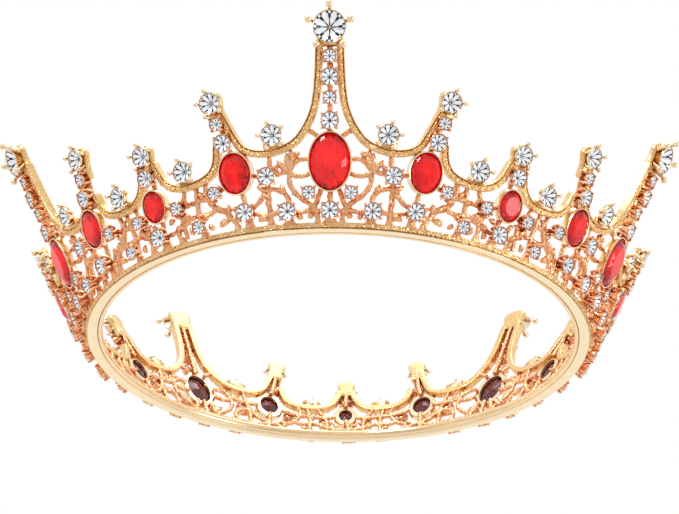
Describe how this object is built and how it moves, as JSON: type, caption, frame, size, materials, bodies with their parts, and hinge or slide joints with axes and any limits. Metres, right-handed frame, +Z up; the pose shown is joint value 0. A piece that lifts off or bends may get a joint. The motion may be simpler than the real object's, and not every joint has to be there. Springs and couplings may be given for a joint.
{
  "type": "crown",
  "caption": "Full-round openwork crown with tall, middle and low spires rising from a plain inner hoop, set with oval red stones and round clear crystals.",
  "frame": {"origin": "centre of the lower edge of the inner hoop, 0.4 mm above the surface the crown stands on", "axes": "+Z up along the crown's axis; the front tall spire is towards -Y and +X is to the right of someone looking at the front along +Y"},
  "size_m": [0.1838, 0.1809, 0.0474],
  "materials": {
    "textured_gold": "granulated",
    "polished_gold": "polished",
    "red_glass": "faceted",
    "clear_glass": "faceted"
  },
  "bodies": {
    "root": {"inner_hoop": "polished_gold", "border_band": "textured_gold", "casting_front": "textured_gold", "casting_right_front": "textured_gold", "casting_right_back": "textured_gold", "casting_left_back": "textured_gold", "casting_left_front": "textured_gold", "bezels_tall": "polished_gold", "bezels_middle": "polished_gold", "bezels_low": "polished_gold", "rubies_tall": "red_glass", "rubies_middle": "red_glass", "rubies_low": "red_glass", "tip_cups_tall": "polished_gold", "tip_cups_middle": "polished_gold", "tip_cups_low": "polished_gold", "dip_cups_tall": "polished_gold", "dip_cups_low": "polished_gold", "tip_crystals_tall": "clear_glass", "tip_crystals_middle": "clear_glass", "tip_crystals_low": "clear_glass", "dip_crystals_tall": "clear_glass", "dip_crystals_low": "clear_glass", "column_cups_large": "polished_gold", "column_cups_small": "polished_gold", "column_crystals_large": "clear_glass", "column_crystals_small": "clear_glass", "foot_cups_large": "polished_gold", "foot_cups_small": "polished_gold", "foot_crystals_large": "clear_glass", "foot_crystals_small": "clear_glass", "side_cups_large": "polished_gold", "side_cups_small": "polished_gold", "side_crystals_large": "clear_glass", "side_crystals_small": "clear_glass"}
  },
  "joints": []
}
